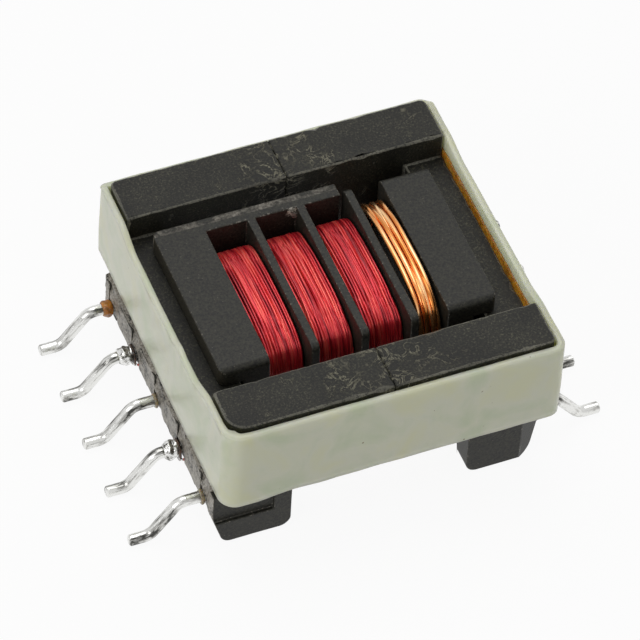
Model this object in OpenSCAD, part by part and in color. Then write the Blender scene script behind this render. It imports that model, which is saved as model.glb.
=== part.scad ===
// Low-profile surface-mount transformer: two gapped ferrite halves taped round a sectioned
// bobbin that carries three fine windings, one thick winding and two rows of bent terminals.
// Frame: X along the winding axis, Y along the terminal rows, Z up. The origin is the middle of
// the bobbin in plan, on the plane that the terminals stand on. All sizes are millimetres.

/* [Core] */
// Length of the two closed halves along the winding axis
core_l = 19.9; // [18:0.1:24]
// Width over the outer legs
core_w = 20; // [18:0.1:24]
// Height of the outer legs
core_h = 6.6; // [6:0.1:8]
// Width of each outer leg
leg_w = 3.1; // [2:0.1:3.6]
// Thickness of each yoke along the winding axis
yoke_t = 2.4; // [1.8:0.1:2.6]
// Depth of the yokes below the tops of the outer legs
yoke_drop = 1.85; // [1.4:0.05:2.6]
// Depth of the centre leg below the tops of the outer legs
centre_drop = 3.1; // [2.6:0.1:3.4]
// Height of the centre leg above the undersides of the outer legs
centre_lift = 0.1; // [0:0.05:0.4]
// Width of the centre leg
centre_w = 6.4; // [5:0.1:7]
// Air gap ground into the centre leg
air_gap = 0.3; // [0.1:0.05:1]
// Radius of the upright outer corners
core_corner_r = 0.4; // [0.2:0.05:1]
// Radius of the one upright corner that is worn round, at the front left
worn_corner_r = 1.2; // [0.4:0.1:2]
// Distance that the core sits off the bobbin's middle, within its play
core_shift = 0.3; // [0:0.05:0.35]
// Height of the outer legs' tops above the board
leg_top_z = 10.9; // [10.6:0.1:12]

/* [Bobbin] */
// Thickness of the tube's wall round the centre leg
tube_wall = 0.5; // [0.3:0.05:0.7]
// Clearance between the core and the bobbin
core_fit = 0.1; // [0.05:0.01:0.2]
// Thickness of the dividers between sections
divider_t = 0.5; // [0.3:0.05:0.8]
// Width of each of the three fine sections
fine_section_w = 2.57; // [2:0.01:2.7]
// Width of the thick wire's section
thick_section_w = 1.8; // [1.5:0.01:2.2]
// Thickness of the walls that close the ends of the winding room
end_wall_t = 1.65; // [1:0.05:1.8]
// Length of the pads that reach out over the yokes
pad_reach = 1.4; // [0.8:0.1:1.8]
// Width of the flanges and the dividers
flange_w = 10.8; // [10.2:0.1:12.4]
// Depth of the flanges' tops below the tops of the outer legs
flange_drop = 0.5; // [0.3:0.05:0.8]
// Radius of the flanges' and the dividers' four corners
flange_corner_r = 0.45; // [0.1:0.05:0.8]
// Thickness of the guard wall behind the fine sections
guard_t = 0.5; // [0.3:0.05:0.8]
// Gap between the guard wall's end and the divider before the thick section
guard_gap = 0.3; // [0.2:0.05:1]

/* [Terminal rails] */
// Distance that the rails reach out beyond the core
rail_reach = 0.35; // [0:0.05:1]
// Length of the rails along the terminal rows
rail_l = 19; // [18.5:0.1:21]
// Height of a rail
rail_h = 2.45; // [2.2:0.05:2.7]
// Bevel across the rail of its one cut corner
corner_cut_x = 1.4; // [0.6:0.1:2]
// Bevel along the rail of its one cut corner
corner_cut_y = 0.9; // [0.5:0.1:1.2]
// Height of the feet's undersides above the board
foot_z = 0.25; // [0.1:0.05:0.5]
// Length of a foot along its rail
foot_l = 1.5; // [1:0.1:1.6]
// Distance that a rail's outer face leans in below the terminals
rail_lean = 0.6; // [0.3:0.05:0.8]
// Radius of the feet's lower edges
foot_edge_r = 0.7; // [0.3:0.05:0.9]
// Width of the notch round each terminal's root
notch_w = 1.4; // [1.2:0.05:1.6]
// Depth of the notch round each terminal's root
notch_d = 0.4; // [0.2:0.05:0.6]
// Width of the grooves that the leads lie in
groove_w = 0.5; // [0.4:0.05:0.6]
// Depth of the grooves that the leads lie in
groove_d = 0.65; // [0.5:0.05:0.8]
// Wall between a terminal's bore and the lead's groove beside it
groove_wall = 0.1; // [0.05:0.05:0.2]
// Depth of the stepped panel that marks one foot
index_step = 0.25; // [0.1:0.05:0.5]
// Width of the plain edge that is left beside the stepped panel
index_edge_w = 1.1; // [0.6:0.1:2]
// Height of the plain edge that is left under the stepped panel
index_edge_h = 1.8; // [1:0.1:2.4]

/* [Terminals] */
// Terminals in each row
pins = 5; // [4:1:5]
// Distance between neighbouring terminals
pin_pitch = 3.8; // [3.5:0.05:4]
// Diameter of a terminal
pin_d = 0.7; // [0.5:0.05:0.8]
// Height of a terminal's axis above the rail's underside
pin_rise = 0.85; // [0.7:0.05:1.1]
// Length of straight terminal that is left beyond the wraps and the solder
pin_spare = 0.02; // [0.02:0.02:0.5]
// Length of the straight foot that is soldered to the board
pin_foot_l = 0.9; // [0.7:0.05:1.2]
// Slope of the terminal between its two bends, in degrees
pin_slope = 52; // [44:1:60]
// Radius of the bends, to the terminal's axis
pin_bend_r = 0.8; // [0.6:0.05:1]
// Length of a terminal that is held in the rail
pin_hold = 3; // [2:0.1:4]
// Bevel round the cut end of a terminal
pin_bevel = 0.08; // [0.04:0.01:0.15]
// Clearance round a terminal in its bore
pin_fit = 0.01; // [0.01:0.01:0.05]

/* [Windings] */
// Height of the windings above the tube
build_up = 1; // [0.6:0.05:1.2]
// Diameter of the fine wire
fine_wire_d = 0.16; // [0.14:0.01:0.25]
// Diameter of the thick wire
thick_wire_d = 0.34; // [0.3:0.01:0.4]
// Radius of the tube's outer corners, which the first turns bend round
tube_corner_r = 0.3; // [0.1:0.05:0.5]
// Clearance between a winding and the walls beside it
side_fit = 0.03; // [0.02:0.01:0.06]
// Turns that each fine lead makes round its terminal
fine_wraps = 3; // [2:1:4]
// Turns that each thick lead makes round its terminal
thick_wraps = 1; // [1:1:2]
// Length of the solder collar outside the wrapped turns
solder_l = 0.3; // [0.2:0.05:0.3]
// Height of the solder collar above the terminal's surface
solder_h = 0.2; // [0.1:0.05:0.25]

/* [Tape] */
// Thickness of the wound tape band
tape_t = 0.5; // [0.3:0.02:0.7]
// Width of the tape band
tape_w = 6.1; // [5:0.1:6.4]
// Depth of the tape's top edge below the tops of the outer legs
tape_drop = 0.25; // [0:0.05:0.4]
// Thickness of the amber film under the tape
film_t = 0.08; // [0.06:0.01:0.12]
// Height of the amber film's top edge above the yokes
film_rise = 0.55; // [0.2:0.05:1]
// Clearance between the core, the film and the tape
tape_fit = 0.02; // [0.01:0.01:0.05]

/* [Hidden] */

eps = 0.01; // overlap of solids that are joined
knuckle = 0.003; // swelling of a wire at its bends, so that straight and bend cross cleanly
curve_fn = 48; // above 12, so every round is a true one

// Heights
core_z = leg_top_z - core_h;
yoke_top_z = leg_top_z - yoke_drop;
centre_top_z = leg_top_z - centre_drop;
centre_h = core_h - centre_drop - centre_lift;
tube_mid_z = centre_top_z - centre_h / 2;
flange_top_z = leg_top_z - flange_drop;
flange_h = 2 * (flange_top_z - tube_mid_z);
flange_z = flange_top_z - flange_h;
rail_top_z = core_z - core_fit;
rail_z = rail_top_z - rail_h;
groove_top_z = rail_z + groove_d;

// The tube and what is wound on it
tube_w = centre_w + 2 * (core_fit + tube_wall);
tube_h = centre_h + 2 * (core_fit + tube_wall);
winding_z = tube_mid_z - tube_h / 2 - build_up;
fine_pitch = fine_section_w + divider_t;
room_l = 3 * fine_pitch + thick_section_w;
room_x = room_l / 2;
end_wall_x = room_x + end_wall_t;
pad_x = end_wall_x + pad_reach;
// Left face of divider i, counted from 1
function divider_x(i) = -room_x + i * fine_pitch - divider_t;

// Rails, their feet and the grooves
rail_in = room_x;
rail_out = core_l / 2 + rail_reach;
pin_z = rail_z + pin_rise;
lean_z = pin_z - pin_d / 2;
lean_angle = atan(rail_lean / (lean_z - foot_z));
pin_clear = 0.05; // room between a terminal and the near side of its notch
notch_y = -(notch_w - pin_d) / 2 + pin_clear;
groove_y = -(pin_d / 2 + pin_fit + groove_wall + groove_w / 2);
function pin_y(i) = ((pins + 1) / 2 - i) * pin_pitch;

// The wrapped turns at a terminal's root
wrap_gap = 0.05; // between the rail and the first turn
wrap_pitch = 1.05; // of the turns, in wire diameters
wrap_x = rail_out + wrap_gap;
function wrap_l(wraps, wire_d) = (wraps * wrap_pitch + 1) * wire_d;
wrap_room = max(wrap_l(fine_wraps, fine_wire_d), wrap_l(thick_wraps, thick_wire_d));

// The terminal's path, from its root outwards
pin_r = pin_d / 2;
pin_drop = pin_z - pin_r;
pin_ramp_h = pin_drop - 2 * pin_bend_r * (1 - cos(pin_slope));
pin_root_x = rail_out - notch_d - pin_hold;
pin_bend_x = wrap_x + wrap_room + solder_l + pin_spare;
pin_foot_x = pin_bend_x + 2 * pin_bend_r * sin(pin_slope) + pin_ramp_h / tan(pin_slope);
pin_tip_x = pin_foot_x + pin_foot_l;

// Plain outlines and sweeps ---------------------------------------------------------------
// Rectangle round the origin with quarter-round corners
module round_rect(w, h, r) {
    square([w - 2 * r, h], center = true);
    square([w, h - 2 * r], center = true);
    for (x = [-1, 1], y = [-1, 1])
        translate([x * (w / 2 - r), y * (h / 2 - r)])
            circle(r, $fn = curve_fn);
}

// Stands an outline of Y and Z up, from x over length l
module along_x(x, l) {
    translate([x, 0, 0])
        rotate([90, 0, 90])
            linear_extrude(l)
                children();
}

// Stands an outline of X and Z up, from y over length l
module along_y(y, l) {
    translate([0, y + l, 0])
        rotate([90, 0, 0])
            linear_extrude(l)
                children();
}

// Round bar between two points
module rod(a, b, d) {
    v = b - a;
    translate(a)
        rotate([0, acos(v.z / norm(v)), atan2(v.y, v.x)])
            cylinder(h = norm(v), d = d, $fn = curve_fn);
}

// Direction of a route at point i, and each ring's first direction carried on without a twist
function along(route, i) =
    let (v = route[min(i + 1, len(route) - 1)] - route[max(i - 1, 0)]) v / norm(v);
function across(route, i = 0, last = [0.2, 0.3, 1]) =
    i == len(route) ? [] :
    let (t = along(route, i), v = last - (last * t) * t, n = v / norm(v))
    concat([n], across(route, i + 1, n));

// Round wire swept along a route
module wire(route, d) {
    first = across(route);
    rings = len(route);
    points = [
        for (i = [0 : rings - 1], k = [0 : wire_sides - 1])
            let (a = k * 360 / wire_sides)
            route[i] + d / 2 * (cos(a) * first[i] + sin(a) * cross(along(route, i), first[i]))
    ];
    skin = [
        for (i = [0 : rings - 2], k = [0 : wire_sides - 1])
            let (
                a = i * wire_sides + k,
                b = i * wire_sides + (k + 1) % wire_sides,
                c = a + wire_sides,
                e = b + wire_sides
            )
            each [[a, c, b], [b, c, e]]
    ];
    root = [for (k = [0 : wire_sides - 1]) k];
    tip = [for (k = [wire_sides - 1 : -1 : 0]) (rings - 1) * wire_sides + k];
    polyhedron(points, concat([root], skin, [tip]), convexity = 10);
}

// Draws the left side's form, or turns it half round for the right side
module on_side(side) {
    rotate([0, 0, side == "left" ? 0 : 180])
        children();
}

// Core ------------------------------------------------------------------------------------

// Outline of the closed core in plan, grown by a margin
module core_outline(margin) {
    l = core_l + 2 * margin;
    w = core_w + 2 * margin;
    r = worn_corner_r + margin;
    difference() {
        round_rect(l, w, core_corner_r + margin);
        translate([-l / 2, -w / 2])
            difference() {
                translate([-r, -r])
                    square(2 * r);
                translate([r, r])
                    circle(r, $fn = curve_fn);
            }
    }
}

// The half on the right of the joint, in the core's own plan frame
module core_half() {
    window_x = core_l / 2 - yoke_t;
    between_legs = core_w - 2 * leg_w;
    window_w = (between_legs - centre_w) / 2;
    difference() {
        translate([0, 0, core_z])
            linear_extrude(core_h)
                intersection() {
                    core_outline(0);
                    translate([0, -core_w / 2])
                        square([core_l / 2, core_w]);
                }
        // lowered yoke and centre leg
        translate([-1, -between_legs / 2, yoke_top_z])
            cube([core_l, between_legs, yoke_drop + 1]);
        translate([-1, -between_legs / 2, centre_top_z])
            cube([window_x + 1, between_legs, centre_drop + 1]);
        translate([-1, -between_legs / 2, core_z - 1])
            cube([core_l, between_legs, 1 + centre_lift]);
        // windows on both sides of the centre leg
        for (side = [-1, 1])
            translate([-1, side * (centre_w + window_w) / 2 - window_w / 2, core_z - 1])
                cube([window_x + 1, window_w, core_h + 2]);
        // half of the air gap
        translate([-1, -centre_w / 2 - 1, core_z - 1])
            cube([1 + air_gap / 2, centre_w + 2, core_h + 2]);
    }
}

module core_half_right() {
    color("#3c3d3e")
        translate([core_shift, 0, 0])
            core_half();
}

module core_half_left() {
    color("#3c3d3e")
        translate([core_shift, 0, 0])
            intersection() {
                mirror([1, 0, 0])
                    core_half();
                translate([0, 0, core_z])
                    linear_extrude(core_h)
                        core_outline(0);
            }
}

// Bobbin ----------------------------------------------------------------------------------

module flange_outline() {
    translate([0, tube_mid_z])
        round_rect(flange_w, flange_h, flange_corner_r);
}

// Pads that reach from the end walls out over the yokes, rounded in plan
module pads() {
    pad_z = yoke_top_z + core_fit;
    intersection() {
        along_x(-pad_x, 2 * pad_x)
            flange_outline();
        translate([0, 0, pad_z])
            linear_extrude(flange_top_z - pad_z + 1)
                difference() {
                    round_rect(2 * pad_x, flange_w, flange_corner_r);
                    square([2 * room_x, flange_w + 2], center = true);
                }
    }
}

// Guard wall behind the left pad and the fine sections, deeper where no yoke is under it
module guard_wall() {
    pad_z = yoke_top_z + core_fit;
    end_x = divider_x(3) - guard_gap;
    y = flange_w / 2 - flange_corner_r;
    wall_t = guard_t + flange_corner_r;
    translate([0, 0, pad_z])
        linear_extrude(flange_top_z - pad_z)
            intersection() {
                round_rect(2 * pad_x, flange_w + 2 * guard_t, flange_corner_r);
                translate([-pad_x, y])
                    square([pad_x + end_x, wall_t]);
            }
    translate([-end_wall_x, y, tube_mid_z])
        cube([end_wall_x + end_x, wall_t, pad_z - tube_mid_z + eps]);
}

// Cross-section of a left rail that reaches down to z0, with edge radius r
module rail_section(z0, r) {
    lean_x = (lean_z - z0) * tan(lean_angle);
    edge_x = rail_out - lean_x + r * tan(lean_angle) - r / cos(lean_angle);
    mirror([1, 0]) {
        polygon([
            [rail_in, rail_top_z],
            [rail_out, rail_top_z],
            [rail_out, lean_z],
            [edge_x + r * cos(lean_angle), z0 + r * (1 - sin(lean_angle))],
            [edge_x, z0],
            [rail_in + r, z0],
            [rail_in, z0 + r]
        ]);
        for (x = [rail_in + r, edge_x])
            translate([x, z0 + r])
                circle(r, $fn = curve_fn);
    }
}

// The left rail with a foot at each end, and what is cut from it for the terminals
module rail() {
    rail_edge_r = 0.2;
    difference() {
        union() {
            along_y(-rail_l / 2, rail_l)
                rail_section(rail_z, rail_edge_r);
            for (y = [-rail_l / 2, rail_l / 2 - foot_l])
                along_y(y, foot_l)
                    rail_section(foot_z, foot_edge_r);
            along_x(-end_wall_x, end_wall_t)
                flange_outline();
        }
        for (i = [1 : pins]) {
            translate([-rail_out - 1, pin_y(i) + notch_y - notch_w / 2, rail_z - eps])
                cube([1 + notch_d, notch_w, rail_top_z - rail_z + 1]);
            translate([-pin_root_x, pin_y(i), pin_z])
                rotate([0, -90, 0])
                    cylinder(h = pin_hold + 1, r = pin_r + pin_fit, $fn = curve_fn);
        }
        // bevelled corner at the far end of the row
        translate([-rail_out - corner_cut_x, rail_l / 2 + corner_cut_y, foot_z - 1])
            linear_extrude(rail_top_z - foot_z + 2)
                polygon([[0, 0], [3 * corner_cut_x, 0], [0, -3 * corner_cut_y]]);
        // no groove beside the last terminal, where the foot is
        for (i = [1 : pins - 1])
            translate([-rail_out - 1, pin_y(i) + groove_y - groove_w / 2, flange_z - 1])
                cube([rail_out - rail_in + 2, groove_w, groove_top_z - flange_z + 1]);
    }
}

module bobbin() {
    color("#1d1d1f")
        difference() {
            union() {
                along_x(-room_x - eps, room_l + 2 * eps)
                    translate([0, tube_mid_z])
                        round_rect(tube_w, tube_h, tube_corner_r);
                for (i = [1 : 3])
                    along_x(divider_x(i), divider_t)
                        flange_outline();
                pads();
                guard_wall();
                for (side = ["left", "right"])
                    on_side(side)
                        rail();
            }
            // passage for the centre leg
            along_x(-pad_x, 2 * pad_x)
                translate([0, tube_mid_z])
                    square([centre_w + 2 * core_fit, centre_h + 2 * core_fit], center = true);
            // stepped panel on the front of the left foot
            translate([-rail_out - 1, -rail_l / 2 - 1, foot_z + index_edge_h])
                cube([1 + rail_out - rail_in - index_edge_w, 1 + index_step, rail_top_z]);
        }
}

// Terminals -------------------------------------------------------------------------------

// Elbow of the terminal's wire about a centre in X and Z, between two angles
module elbow(x, z, from, to) {
    translate([x, 0, z])
        rotate([90, 0, 0])
            rotate([0, 0, from])
                rotate_extrude(angle = to - from, $fn = curve_fn)
                    translate([pin_bend_r, 0])
                        circle(pin_r, $fn = curve_fn);
}

// One gull-wing terminal that points to the right
module terminal() {
    ramp = [pin_bend_x + pin_bend_r * sin(pin_slope), 0, pin_z - pin_bend_r * (1 - cos(pin_slope))];
    ramp_end = [pin_foot_x - pin_bend_r * sin(pin_slope), 0, pin_r + pin_bend_r * (1 - cos(pin_slope))];
    translate([pin_root_x, 0, pin_z])
        rotate([0, 90, 0])
            cylinder(h = pin_bend_x - pin_root_x, r = pin_r, $fn = curve_fn);
    elbow(pin_bend_x, pin_z - pin_bend_r, 90 - pin_slope, 90);
    rod(ramp, ramp_end, pin_d);
    elbow(pin_foot_x, pin_r + pin_bend_r, 270 - pin_slope, 270);
    translate([pin_foot_x, 0, pin_r])
        rotate([0, 90, 0])
            cylinder(h = pin_foot_l - pin_bevel, r = pin_r, $fn = curve_fn);
    translate([pin_tip_x - pin_bevel, 0, pin_r])
        rotate([0, 90, 0])
            cylinder(h = pin_bevel, r1 = pin_r, r2 = pin_r - pin_bevel, $fn = curve_fn);
    // a ball in each joint of straight and bend
    for (joint = [[pin_bend_x, 0, pin_z], ramp, ramp_end, [pin_foot_x, 0, pin_r]])
        translate(joint)
            sphere(pin_r + knuckle, $fn = curve_fn);
}

module terminal_left(i) {
    color("#c9cbcd")
        translate([0, pin_y(i), 0])
            mirror([1, 0, 0])
                terminal();
}

module terminal_right(i) {
    color("#c9cbcd")
        translate([0, pin_y(i), 0])
            rotate([0, 0, 180])
                mirror([1, 0, 0])
                    terminal();
}

// Windings --------------------------------------------------------------------------------

// Section of a winding of width w: X along the axis, Y outwards, with a ridge for each turn
module winding_section(w, wire_d) {
    turns = floor(w / wire_d);
    square([w, build_up - wire_d / 2]);
    for (i = [0.5 : turns])
        translate([i * w / turns, build_up - wire_d / 2])
            circle(d = wire_d, $fn = curve_fn);
}

// Sweeps that section round the tube, with quarter turns at its four corners
module winding(x, section_w, wire_d) {
    w = section_w - 2 * side_fit;
    flat_y = tube_w / 2 - tube_corner_r;
    flat_z = tube_h / 2 - tube_corner_r;
    translate([x + side_fit, 0, tube_mid_z]) {
        for (turn = [0, 180]) {
            rotate([turn, 0, 0])
                translate([0, 0, tube_h / 2])
                    along_y(-flat_y, 2 * flat_y)
                        winding_section(w, wire_d);
            rotate([turn + 90, 0, 0])
                translate([0, 0, tube_w / 2])
                    along_y(-flat_z, 2 * flat_z)
                        winding_section(w, wire_d);
        }
        for (y = [-1, 1], z = [-1, 1])
            translate([0, y * flat_y, z * flat_z])
                rotate([90, 0, 90])
                    rotate([0, 0, y > 0 ? (z > 0 ? 0 : 270) : (z > 0 ? 90 : 180)])
                        rotate_extrude(angle = 90, $fn = curve_fn)
                            translate([tube_corner_r, 0])
                                mirror([1, -1])
                                    winding_section(w, wire_d);
    }
}

module winding_fine(i) {
    color("#b3273a")
        winding(-room_x + (i - 1) * fine_pitch, fine_section_w, fine_wire_d);
}

module winding_thick() {
    color("#c9763c")
        winding(divider_x(3) + divider_t, thick_section_w, thick_wire_d);
}

// Leads -----------------------------------------------------------------------------------

under_z = flange_z - 0.02; // top of a fine wire that passes under a divider
lead_fit = 0.05; // room over a lead in its groove
wire_sides = 8;
wrap_steps = 14; // rings a turn

// Wire that links fine section i to the next one, under the divider between them
module link_wire(i) {
    z0 = winding_z - fine_wire_d / 2;
    z1 = under_z - fine_wire_d / 2;
    x0 = divider_x(i);
    x1 = x0 + divider_t;
    color("#b3273a")
        wire([[x0 - 0.6, 0, z0], [x0 - 0.3, 0, z0], [x0 - 0.1, 0, z1],
              [x1 + 0.1, 0, z1], [x1 + 0.3, 0, z0], [x1 + 0.6, 0, z0]], fine_wire_d);
}

// Lead from the windings along left terminal i's groove, then wound round the terminal's root
module lead(i, wire_d, wraps, inner_route) {
    y = pin_y(i) + groove_y;
    z = groove_top_z - lead_fit - wire_d / 2;
    x = -wrap_x - wire_d / 2;
    ring_r = pin_r + pin_fit + wire_d / 2;
    wire(concat(inner_route, [
        [-rail_in + wire_d, y, z],
        [-rail_out + notch_d / 2, y, z],
        [x + wire_d / 2, y + wire_d / 4, z],
        [x, y + wire_d, z]
    ], [
        for (k = [0 : wraps * wrap_steps])
            let (a = 270 + k * 360 / wrap_steps)
            [x - k * wire_d * wrap_pitch / wrap_steps, pin_y(i) + ring_r * cos(a), pin_z + ring_r * sin(a)]
    ]), wire_d);
}

// Both fine leads leave on the left: from the first section, and from the last one underneath
module lead_fine_start() {
    y = pin_y(2) + groove_y;
    z = winding_z - fine_wire_d / 2;
    color("#b3273a")
        lead(2, fine_wire_d, fine_wraps, [[-room_x + 1, y, z], [-room_x + 0.5, y, z]]);
}

module lead_fine_finish() {
    y = pin_y(pins - 1) + groove_y;
    z0 = winding_z - fine_wire_d / 2;
    z1 = under_z - fine_wire_d / 2;
    x = divider_x(2) + divider_t;
    flat_y = -tube_w / 2 + tube_corner_r;
    color("#b3273a")
        lead(pins - 1, fine_wire_d, fine_wraps, [
            [x + 0.6, flat_y, z0], [x + 0.3, flat_y, z0], [x + 0.1, flat_y, z1], [-room_x + 0.8, y, z1]
        ]);
}

// Both thick leads leave on the right
module lead_thick_start() {
    y = pin_y(2) + groove_y;
    z = winding_z - thick_wire_d / 2;
    color("#c9763c")
        on_side("right")
            lead(2, thick_wire_d, thick_wraps, [[-room_x + 1.2, y, z], [-room_x + 0.7, y, z]]);
}

module lead_thick_finish() {
    y = -tube_w / 2 + tube_corner_r;
    z = winding_z - thick_wire_d / 2;
    color("#c9763c")
        on_side("right")
            lead(pins - 1, thick_wire_d, thick_wraps, [[-room_x + 1.2, y, z], [-room_x + 0.7, y, z]]);
}

// Solder collar outside the wraps on left terminal i
module solder(i, wire_d, wraps) {
    bore = pin_r + pin_fit;
    color("#d3d5d7")
        translate([-wrap_x - wrap_l(wraps, wire_d), pin_y(i), pin_z])
            rotate([0, -90, 0])
                rotate_extrude($fn = curve_fn)
                    polygon([
                        [bore, 0],
                        [pin_r + solder_h, 0],
                        [pin_r + solder_h * 0.8, solder_l * 0.4],
                        [bore + 0.02, solder_l],
                        [bore, solder_l]
                    ]);
}

// Tape ------------------------------------------------------------------------------------

tape_z = leg_top_z - tape_drop - tape_w;

// Band round the core between two margins
module band(inner, outer, h) {
    translate([core_shift, 0, tape_z])
        linear_extrude(h)
            difference() {
                core_outline(outer);
                core_outline(inner);
            }
}

module film_layer() {
    color("#b8741e")
        band(tape_fit, tape_fit + film_t, yoke_top_z + film_rise - tape_z);
}

module tape_band() {
    inner = film_t + 2 * tape_fit;
    color("#d5d8cb")
        band(inner, inner + tape_t, tape_w);
}

core_half_left();
core_half_right();
bobbin();
film_layer();
tape_band();
for (i = [1 : 3])
    winding_fine(i);
winding_thick();
for (i = [1 : 2])
    link_wire(i);
lead_fine_start();
lead_fine_finish();
lead_thick_start();
lead_thick_finish();
solder(2, fine_wire_d, fine_wraps);  // solder_fine_start
solder(pins - 1, fine_wire_d, fine_wraps);  // solder_fine_finish
on_side("right") solder(2, thick_wire_d, thick_wraps);  // solder_thick_start
on_side("right") solder(pins - 1, thick_wire_d, thick_wraps);  // solder_thick_finish
for (i = [1 : pins])
    terminal_left(i);
for (i = [1 : pins])
    terminal_right(i);
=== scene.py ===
import math
import random
import bmesh
import bpy
from mathutils import Matrix, Vector, noise
from mathutils.kdtree import KDTree


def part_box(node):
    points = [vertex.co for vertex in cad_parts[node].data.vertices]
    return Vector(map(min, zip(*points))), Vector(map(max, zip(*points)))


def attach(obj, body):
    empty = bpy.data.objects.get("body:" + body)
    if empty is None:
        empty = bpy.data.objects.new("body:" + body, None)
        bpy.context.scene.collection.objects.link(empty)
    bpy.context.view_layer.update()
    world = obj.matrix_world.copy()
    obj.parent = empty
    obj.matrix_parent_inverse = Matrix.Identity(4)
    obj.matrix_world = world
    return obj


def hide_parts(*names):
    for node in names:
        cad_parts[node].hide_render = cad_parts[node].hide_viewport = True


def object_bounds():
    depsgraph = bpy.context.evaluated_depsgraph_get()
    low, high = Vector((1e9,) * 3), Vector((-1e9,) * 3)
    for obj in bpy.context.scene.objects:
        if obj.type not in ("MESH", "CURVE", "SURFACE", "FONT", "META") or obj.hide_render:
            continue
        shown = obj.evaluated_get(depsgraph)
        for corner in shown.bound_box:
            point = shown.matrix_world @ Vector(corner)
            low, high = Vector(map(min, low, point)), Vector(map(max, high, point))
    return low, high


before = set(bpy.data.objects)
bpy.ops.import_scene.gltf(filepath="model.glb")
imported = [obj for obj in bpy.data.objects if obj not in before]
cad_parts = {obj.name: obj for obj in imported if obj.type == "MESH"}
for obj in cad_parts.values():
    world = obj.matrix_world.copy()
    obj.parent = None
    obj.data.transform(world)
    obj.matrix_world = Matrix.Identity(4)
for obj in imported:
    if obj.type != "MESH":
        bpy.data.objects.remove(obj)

# Low-profile surface-mount transformer: ferrite halves taped round a sectioned bobbin.
# The scene is in metres, X along the winding axis, Y along the terminal rows, Z up.
# Sizes in the dictionaries are in mm, unless a note says otherwise.

cadLow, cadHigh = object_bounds()
mm = 0.001
print("frame loaded")


def linear(hexCode):
    channels = [int(hexCode[i:i + 2], 16) / 255 for i in (1, 3, 5)]
    return [c / 12.92 if c <= 0.04045 else ((c + 0.055) / 1.055) ** 2.4 for c in channels] + [1]


# adds one shader node; settings name sockets or the node's own properties, links name sockets
def addNode(tree, kind, settings=None, links=None):
    node = tree.nodes.new("ShaderNode" + kind)
    for key, value in (settings or {}).items():
        if key == "stops":
            while len(node.color_ramp.elements) < len(value):
                node.color_ramp.elements.new(0.5)
            for element, (position, colour) in zip(node.color_ramp.elements, value):
                element.position = position
                element.color = linear(colour)
        elif isinstance(key, int) or key in node.inputs:
            node.inputs[key].default_value = value
        else:
            setattr(node, key, value)
    for key, source in (links or {}).items():
        tree.links.new(source, node.inputs[key])
    return node


def startMaterial(name):
    material = bpy.data.materials.new(name)
    material.use_nodes = True
    tree = material.node_tree
    tree.nodes.clear()
    place = addNode(tree, "TexCoord").outputs["Object"]
    return material, tree, place


def setMaterials(piece, *materials):
    if piece.data.materials:  # clearing an empty list would still reset the faces' own numbers
        piece.data.materials.clear()
    for material in materials:
        piece.data.materials.append(material)


def addPiece(name, mesh):
    piece = bpy.data.objects.new(name, mesh)
    bpy.context.scene.collection.objects.link(piece)
    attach(piece, "root")
    return piece


def meshFrom(name, points, faces):
    mesh = bpy.data.meshes.new(name)
    mesh.from_pydata([Vector(p) * mm for p in points], [], faces)
    mesh.update()
    for face in mesh.polygons:
        face.use_smooth = True
    return mesh


# the low and high corners of a CAD node, in mm
def boxOf(node):
    return [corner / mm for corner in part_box(node)]


# y and z of the straight root of a terminal, in mm
def pinAxis(node):
    low, high = boxOf(node)
    return (low.y + high.y) / 2, high.z - (high.y - low.y) / 2


# 0 before start, 1 after end, and eased between them
def smoothRise(value, start, end):
    part = min(max((value - start) / (end - start), 0), 1)
    return part * part * (3 - 2 * part)


# quads between rings of points that follow each other, from the point numbered first
def ringFaces(steps, sides, first=0):
    faces = []
    for i in range(steps):
        for k in range(sides):
            a, b = first + i * sides + k, first + i * sides + (k + 1) % sides
            faces.append((a, b, b + sides, a + sides))
    return faces


# round wire swept along each route; routes and radius are in mm
def tubeMesh(routes, radius, sides):
    points, faces = [], []
    for route in routes:
        base, last = len(points), len(route) - 1
        normal = Vector((0.2, 0.3, 1))  # any direction that no wire starts along
        for i, spot in enumerate(route):
            along = (route[min(i + 1, last)] - route[max(i - 1, 0)]).normalized()
            normal = (normal - along * normal.dot(along)).normalized()
            side = along.cross(normal)
            for k in range(sides):
                a = 2 * math.pi * k / sides
                points.append(spot + radius * (math.cos(a) * normal + math.sin(a) * side))
        faces += ringFaces(last, sides, base)
        faces.append([base + k for k in reversed(range(sides))])
        faces.append([base + last * sides + k for k in range(sides)])
    return points, faces


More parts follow.
